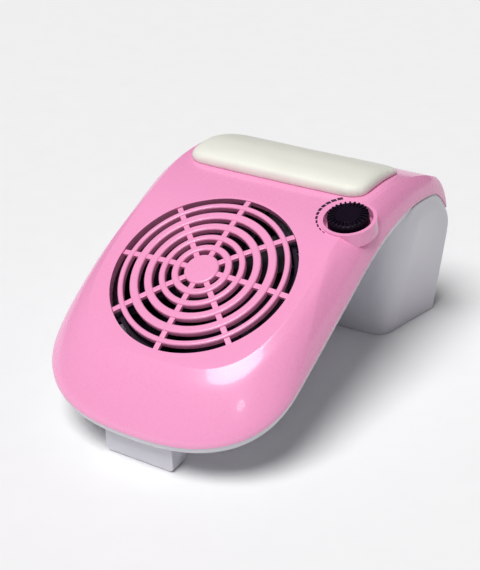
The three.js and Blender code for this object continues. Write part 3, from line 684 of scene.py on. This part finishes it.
def facet_profile(steps=16):
    """(height share, inward share by the nose, inward share by the sides) up the facet, eased
    through the facet's stations."""
    stations = [FACET[0], *FACET, FACET[-1]]
    profile = []
    for i in range(steps + 1):
        place = min(i / steps, 0.99999) * (len(FACET) - 1)
        first = int(place)
        t = place - first
        p = stations[first:first + 4]
        profile.append(tuple(
            0.5 * (
                2 * b + (c - a) * t + (2 * a - 5 * b + 4 * c - d) * t * t
                + (3 * b - a - 3 * c + d) * t ** 3
            )
            for a, b, c, d in zip(*p)
        ))
    profile[-1] = FACET[-1]
    return profile


def facet_loops(seam, crease):
    loops = []
    for height, nose, side in facet_profile():
        loop = []
        for low, high in zip(seam, crease):
            share = mix(nose, side, smooth((low.y / MM - NOSE_Y - 90) / 80))
            loop.append(Vector((
                mix(low.x, high.x, share), mix(low.y, high.y, share), mix(low.z, high.z, height),
            )))
        loops.append(loop)
    return loops


def bridged_across(piece, first, count):
    """Closes one loop of a skin: its right half bridged across to its left half."""
    only(piece)
    for part in (piece.data.polygons, piece.data.edges, piece.data.vertices):
        part.foreach_set("select", [False] * len(part))
    ring = range(first, first + count)
    for edge in piece.data.edges:
        ends = [piece.data.vertices[i] for i in edge.vertices]
        if ends[0].index in ring and ends[1].index in ring and ends[0].co.x * ends[1].co.x > 0:
            edge.select = True
            ends[0].select = True
            ends[1].select = True
    bpy.context.tool_settings.mesh_select_mode = (False, True, False)
    bpy.ops.object.mode_set(mode="EDIT")
    bpy.ops.mesh.bridge_edge_loops()
    bpy.ops.object.mode_set(mode="OBJECT")
    bpy.context.tool_settings.mesh_select_mode = (True, False, False)


def cover_block(inset, drop, crease_inset, skirt):
    """The cover's outline as a solid, its underside closed at the seam or a skirt below it."""
    lift = SEAM_GAP / 2
    seam = body_loop(SEAM_PLAN, inset, lambda run: seam_height(run) + lift)
    crease = body_loop(CREASE_PLAN, crease_inset, lambda run: deck_height(run) - drop)
    inner = body_loop(CREASE_PLAN, crease_inset + 5, lambda run: deck_height(run) - drop)
    loops = [*facet_loops(seam, crease), inner]
    if skirt:
        loops.insert(0, body_loop(SEAM_PLAN, inset, lambda run: seam_height(run) + lift - skirt))
    return capped(loft("cover_block", loops), len(inner))


def top_cover():
    deck = deck_frame()
    knob = knob_frame()
    cover = cover_block(0, 0, 0, 0)
    cut(cover, cover_block(COVER_WALL + 0.2, COVER_WALL / math.cos(DECK_TILT), COVER_WALL * 0.6, 4))
    fused(cover, place_at(rod("hole_lip", HOLE_RADIUS + 2, -6, -COVER_WALL / 2, 128), deck))
    collar = rod("collar", COLLAR_RADIUS, -11, -0.05, 96)
    edit(collar, (bpy.ops.mesh.dissolve_limited, {"angle_limit": math.radians(0.5)}))
    fused(cover, place_at(collar, knob))
    cut(cover, place_at(rod("grille_hole", HOLE_RADIUS, -12, 6, 128), deck))
    cut(cover, place_at(rod("knob_well", WELL_RADIUS, -WELL_DEPTH, 20), knob))
    cut(cover, place_at(rod("shaft_hole", 4.5, -20, 0, 48), knob))
    mended(cover)
    rounded(cover, 0.7, 32, 3)
    shaded(cover, 40)
    return cover


# ---------- base ----------
def tray_block(inset, lift, top_lift):
    def at(drop):
        return lambda run: seam_height(run) - drop
    depth = TRAY_DEPTH - lift
    stations = [(6, depth), (4.2, depth * 0.88), (2.6, depth * 0.72), (1.4, depth * 0.5),
                (0.8, depth * 0.28), (0.4, SEAM_GAP / 2 - top_lift)]
    loops = [body_loop(SEAM_PLAN, inset + side, at(drop)) for side, drop in stations]
    return capped(loft("tray_block", loops), len(loops[0]))


def capped(piece, count):
    """Closes both ends of a lofted skin across the width."""
    bridged_across(piece, len(piece.data.vertices) - count, count)
    bridged_across(piece, 0, count)
    edit(piece, (bpy.ops.mesh.normals_make_consistent, {"inside": False}))
    return piece


def leg_loop(front, half_front, half_rear, corner, inset, height):
    half = half_front - inset
    first = front + inset
    right = []
    for i in range(7):
        right.append((mix(1.0, half - corner, i / 6), first - 1.5 + 1.5 * (i / 6) ** 2))
    for i in range(1, 13):
        angle = (i / 12) * math.pi / 2
        right.append((half - corner + corner * math.sin(angle), first + corner - corner * math.cos(angle)))
    rear = BODY_LENGTH - inset
    for i in range(1, 15):
        share = i / 14
        right.append((mix(half, half_rear - inset, share), mix(first + corner, rear, share)))
    whole = right + [(-x, run) for x, run in reversed(right)]
    return [Vector((x, NOSE_Y + run, height(run))) * MM for x, run in whole]


def leg_block(inset, floor, top_lift):
    """The rear leg: out from its foot to a soft bulge under the seam, then in to the rim."""
    front_half = seam_half(205)
    rear_half = seam_half(BODY_LENGTH)
    loops = [
        leg_loop(229, 71, 82, 14, inset, lambda run: floor),
    ]
    for share in (0.25, 0.5, 0.72, 0.88):
        bulge = smooth(share) * 0.25 + share * 0.75
        loops.append(leg_loop(
            mix(229, 208, bulge), mix(71, front_half + 1.8, bulge), mix(82, rear_half + 1.8, bulge),
            mix(14, 26, bulge), inset,
            lambda run, share=share: mix(floor, seam_height(run) - 14, share),
        ))
    rim_stations = [
        (14, 1.8, 208), (9, 1.75, 206.5), (5.5, 1.2, 205.6), (2.8, 0.3, 205), (1.2, -0.5, 205),
    ]
    for drop, out, front in rim_stations:
        loops.append(leg_loop(
            front, front_half + out, rear_half + out, 26, inset,
            lambda run, drop=drop: seam_height(run) - drop + top_lift * (drop < 2),
        ))
    return capped(loft("leg_block", loops), len(loops[0]))


def base_shell():
    leg_floor = LEG_FLOOR + BASE_WALL
    shell = tray_block(0, 0, 0)
    fused(shell, leg_block(0, LEG_FLOOR, 0))
    cut(shell, tray_block(BASE_WALL, BASE_WALL, 6))
    cut(shell, leg_block(BASE_WALL, leg_floor, 14))
    rear = NOSE_Y + BODY_LENGTH
    window_low = (-WINDOW_HALF_WIDTH, rear - 18, WINDOW_LOW)
    cut(shell, block("cassette_window", window_low, (WINDOW_HALF_WIDTH, rear + 1, WINDOW_HIGH)))
    socket = rod("socket_hole", SOCKET_HOLE_RADIUS, -6, 6, 48)
    socket_place = Matrix.Translation((SOCKET_X * MM, rear * MM, SOCKET_HEIGHT * MM))
    place_at(socket, socket_place @ Matrix.Rotation(math.pi / 2, 4, "X"))
    cut(shell, socket)
    for x, run in PAD_POCKETS:
        pocket = rod("pad_pocket", PAD_POCKET_RADIUS, -1, 1.8, 48)
        cut(shell, place_at(pocket, Matrix.Translation((x * MM, (NOSE_Y + run) * MM, 0))))
    mended(shell)
    rounded(shell, 0.8, 35, 3)
    shaded(shell, 40)
    return shell


# ---------- grille ----------
def dome(radius):
    return GRILLE_DOME * (1 - (radius / HOLE_RADIUS) ** 2)


def intake_grille():
    parts = []
    for inner, outer in GRILLE_RINGS:
        top = dome((inner + outer) / 2)
        parts.append(turned("ring", bar_outline(inner, outer, top - GRILLE_THICKNESS, top, 1.3), 128))
    disc_top = dome(GRILLE_DISC)
    outline = [(0, disc_top - GRILLE_THICKNESS), (GRILLE_DISC, disc_top - GRILLE_THICKNESS)]
    for i in range(6):
        angle = (i / 5) * math.pi / 2
        outline.append((GRILLE_DISC - 1.3 + 1.3 * math.cos(angle), disc_top - 1.3 + 1.3 * math.sin(angle)))
    outline += [(6, disc_top + 0.12), (0, disc_top + 0.16)]
    parts.append(turned("disc", outline, 96))
    rings = joined("intake_rings", parts)
    start = GRILLE_DISC - 1
    end = HOLE_RADIUS - 0.3
    spoke = block("spoke", (start, -SPOKE_WIDTH / 2, -SPOKE_THICKNESS), (end, SPOKE_WIDTH / 2, 0))
    edit(spoke, (bpy.ops.mesh.subdivide, {"number_cuts": 7}))
    for vertex in spoke.data.vertices:
        vertex.co.z += (dome(vertex.co.x / MM) - SPOKE_DROP) * MM
    rounded(spoke, 0.8, 50, 3)
    spokes = spread_round("spokes", spoke, SPOKE_COUNT)
    grille = fused(rings, spokes)
    grille.name = "intake_grille_bars"
    shaded(grille, 40)
    return place_at(grille, deck_frame())


# ---------- dark disc of painted shade in the tray ---
def painted_shade_disc():
    """A thin dark disc over the tray floor under the fan: painted shade, put there only to keep
    the inside dark. It is an assumption: no such piece is known on the object, and its solids have none."""
    edge = DISC_RADIUS - 0.5
    felt = turned("painted_shade_disc_mesh", [
        (0, DISC_LOW), (edge, DISC_LOW), (DISC_RADIUS, DISC_LOW + 0.2), (DISC_RADIUS, DISC_HIGH - 0.3),
        (DISC_RADIUS - 0.4, DISC_HIGH), (0, DISC_HIGH),
    ], 96)
    shaded(felt, 40)
    return place_at(felt, deck_frame())


# ---------- knob ----------
def speed_knob():
    r = KNOB_RADIUS
    groove = KNOB_TOP - 1.3
    outline = [
        (3.3, KNOB_LOW), (r - 0.1, KNOB_LOW), (r, KNOB_LOW + 0.4), (r - 0.25, groove - 1.6),
        (r - 0.5, groove - 0.7), (r - 1.1, groove - 0.15), (r - 1.7, groove), (9.2, groove),
        (8.9, groove + 0.2), (8.8, KNOB_TOP - 0.55), (8.5, KNOB_TOP - 0.35), (4, KNOB_TOP - 0.45),
        (0, KNOB_TOP - 0.5), (0, -1.5), (3.3, -1.5),
    ]
    body = turned("knob_body", outline, 104)
    rib = block("rib", (8.6, -0.62, groove - 2), (r - 0.35, 0.62, KNOB_TOP))
    edit(rib, (bpy.ops.mesh.subdivide, {"number_cuts": 3}))
    for vertex in rib.data.vertices:
        reach = (vertex.co.x / MM - 8.6) / (r - 8.95)
        if vertex.co.z > (groove + 0.4) * MM:
            vertex.co.z -= 0.5 * MM * max(reach - 0.6, 0) / 0.4
    rounded(rib, 0.35, 40, 2)
    ribs = spread_round("ribs", rib, 26)
    fused(body, ribs)
    mended(body)
    body.name = "speed_knob_ribbed"
    shaded(body, 35)
    return place_at(body, knob_frame())


def dial_marks():
    """Dashes printed round the left of the knob, thick at the rear and thin at the front."""
    dashes = []
    count = 11
    for i in range(count):
        share = i / (count - 1)
        angle = math.radians(mix(131, 243, share))
        length = mix(3.9, 2.4, share)
        width = mix(3.0, 0.6, share)
        dash = block("dash", (-length / 2, -width / 2, -0.05), (length / 2, width / 2, 0.12))
        edit(dash, (bpy.ops.mesh.subdivide, {"number_cuts": 1}))
        radius = mix(24.0, 20.2, share)
        matrix = Matrix.Rotation(angle, 4, "Z") @ Matrix.Translation((radius * MM, 0, 0))
        place_at(dash, matrix @ Matrix.Rotation(math.pi / 2, 4, "Z"))
        dashes.append(dash)
    marks = joined("dial_marks", dashes)
    place_at(marks, knob_frame())
    for vertex in marks.data.vertices:
        run = vertex.co.y / MM - NOSE_Y
        lift = vertex.co.z
        tangent = (deck_height(KNOB_RUN) + (run - KNOB_RUN) * math.tan(KNOB_TILT)) * MM
        vertex.co.z = deck_height(run) * MM + (lift - tangent)
    return marks


# ---------- hand rest ----------
def over_deck(x, run, lift):
    step = 0.5
    rise = (deck_height(run + step) - deck_height(run - step)) / (2 * step)
    length = math.hypot(1, rise)
    return Vector((x, NOSE_Y + run - rise / length * lift, deck_height(run) + lift / length)) * MM


def pad_lift(run, height):
    """The pad is thickest at its front and thins behind the crown."""
    return height * (1 - REST_THINNING * smooth((run - REST_CROWN) / (REST_REAR - REST_CROWN)))


def rest_loop(inset, height, bow=1.0):
    half = REST_HALF_WIDTH - inset
    front = REST_FRONT + inset
    rear = REST_REAR - inset
    corner = REST_CORNER
    right = []
    for i in range(13):
        share = i / 12
        right.append((mix(2.0, half - corner, share), front - bow * (1 - share ** 2)))
    for i in range(1, 11):
        angle = (i / 10) * math.pi / 2
        right.append((half - corner + corner * math.sin(angle), front + corner - corner * math.cos(angle)))
    for i in range(1, 13):
        right.append((half, mix(front + corner, rear - corner, i / 12)))
    for i in range(1, 11):
        angle = (i / 10) * math.pi / 2
        right.append((half - corner + corner * math.cos(angle), rear - corner + corner * math.sin(angle)))
    whole = right + [(-x, run) for x, run in reversed(right)]
    return [over_deck(x, run, pad_lift(run, height)) for x, run in whole]


def hand_rest():
    """The padded rest: a soft block filled by air pressure as cloth, then laid on the deck."""
    stations = [
        (0.6, -5.0), (0.3, -1.0), (0.1, 1.4), (0.3, 3.2),
        (1.1, 5.0), (2.8, 6.7), (6.0, 7.9), (12.0, 8.7),
    ]
    loops = [rest_loop(inset, height) for inset, height in stations]
    pad = capped(loft("hand_rest_pad", loops), len(loops[0]))
    finished(pad, "REMESH", mode="VOXEL", voxel_size=2.6 * MM)
    finished(pad, "SMOOTH", factor=0.5, iterations=3)
    only(pad)
    rest = [v.co.copy() for v in pad.data.vertices]
    cloth = pad.modifiers.new("filling", "CLOTH")
    cloth.settings.quality = 6
    cloth.settings.use_pressure = True
    cloth.settings.uniform_pressure_force = 4
    cloth.settings.effector_weights.gravity = 0
    cloth.settings.tension_stiffness = 25
    cloth.settings.compression_stiffness = 25
    cloth.settings.bending_stiffness = 4
    for step in range(1, 21):
        bpy.context.scene.frame_set(step)
    bpy.ops.object.modifier_apply(modifier="filling")
    bpy.context.scene.frame_set(1)
    for vertex, start in zip(pad.data.vertices, rest):
        move = vertex.co - start
        if move.length > REST_SWELL * MM:
            vertex.co = start + move.normalized() * REST_SWELL * MM
    finished(pad, "SUBSURF", levels=1, render_levels=1)
    finished(pad, "SMOOTH", factor=0.5, iterations=6)
    for vertex in pad.data.vertices:
        floor = deck_height(vertex.co.y / MM - NOSE_Y) * MM + 0.4 * MM
        vertex.co.z = max(vertex.co.z, floor)
    only(pad)
    bpy.ops.object.shade_smooth()
    return pad


# ---------- pieces softened from their solids ----------
def softened(name, source, width, angle=30, segments=2):
    """A fine copy of a plain solid: merged, its flat faces joined, and its edges rounded."""
    piece = bpy.data.objects.new(name, frame["nodes"][source].data.copy())
    bpy.context.scene.collection.objects.link(piece)
    edit(
        piece,
        (bpy.ops.mesh.remove_doubles, {"threshold": 0.005 * MM}),
        (bpy.ops.mesh.dissolve_limited, {"angle_limit": math.radians(0.5)}),
    )
    rounded(piece, width, angle, segments)
    shaded(piece, 40)
    return piece


# ---------- studio ----------
def add_studio():
    world = bpy.data.worlds.new("soft_white_room")
    bpy.context.scene.world = world
    world.use_nodes = True
    background = world.node_tree.nodes["Background"]
    background.inputs["Color"].default_value = (1.0, 1.0, 1.0, 1.0)
    background.inputs["Strength"].default_value = 0.08
    bpy.ops.object.select_all(action="DESELECT")
    bpy.ops.mesh.primitive_plane_add(size=12)
    floor = named("studio_floor")
    material, tree, shader, where = new_material("studio_paper", specular=0.2)
    grain = noise(tree, where, 40.0, 3)
    two_tone(tree, shader, grain, (0.93, 0.93, 0.94, 1.0), (0.96, 0.96, 0.965, 1.0))
    tree.links.new(scaled(tree, grain, 0.8, 0.95), shader.inputs["Roughness"])
    coloured(floor, material)
    target = Vector((0, 0, 0.06))

    def lamp(name, kind, place, **settings):
        bpy.ops.object.light_add(type=kind, location=place)
        made = bpy.context.object
        made.name = name
        made.rotation_euler = (target - Vector(place)).to_track_quat("-Z", "Y").to_euler()
        for key, value in settings.items():
            setattr(made.data, key, value)

    lamp("window_light", "SUN", (-0.04, -0.42, 1.0), energy=2.9, angle=math.radians(34))
    lamp("front_softbox", "AREA", (0.75, -1.5, 1.15), shape="DISK", size=0.25, energy=1.4)
    bpy.context.scene.view_settings.view_transform = "Standard"


# ---------- assembly ----------
bpy.ops.object.select_all(action="DESELECT")
add_camera()
kept(top_cover(), PINK, "housing", "pink_cover", "top_cover")
kept(base_shell(), WHITE, "housing", "white_base", "base_shell")
kept(intake_grille(), PINK, "grille", "pink_cover", "intake_grille")
kept(speed_knob(), KNOB, "knob", "knob_black", "speed_knob")
kept(dial_marks(), INK, "housing", "knob_black")
cushion = kept(hand_rest(), LEATHER, "housing", "leatherette", "hand_rest_cushion")
foot = softened("front_foot_block", "front_foot", 1.2, segments=4)
kept(foot, WHITE, "housing", "white_base", "front_foot")
cassette = softened("filter_cassette_frame", "filter_cassette", 0.7)
kept(cassette, WHITE, "cassette", "white_base", "filter_cassette")
kept(softened("fan_blades", "fan_impeller", 0.3, 50), IMPELLER, "fan", "impeller_black", "fan_impeller")
kept(softened("fan_housing_ring", "fan_frame", 0.4, 50), NYLON, "housing", "black_plastic", "fan_frame")
# Painted shade: a dark disc laid under the fan to keep the inside of the tray dark.
kept(painted_shade_disc(), PAINTED_SHADE_MATT, "housing", "black_plastic")

MATERIAL_OF_SLOT = {
    "pink_cover": PINK, "white_base": WHITE, "rubber_pad": RUBBER, "leatherette": LEATHER,
    "rest_board": PLYWOOD, "black_plastic": NYLON, "knob_black": KNOB, "impeller_black": IMPELLER,
    "steel": STEEL, "brass": BRASS, "filter_foam": FOAM, "circuit": CIRCUIT,
}
for subpart in frame["record"]["subparts"]:
    coloured(frame["nodes"][subpart["node"]], MATERIAL_OF_SLOT[subpart["material_slot"]])

add_studio()
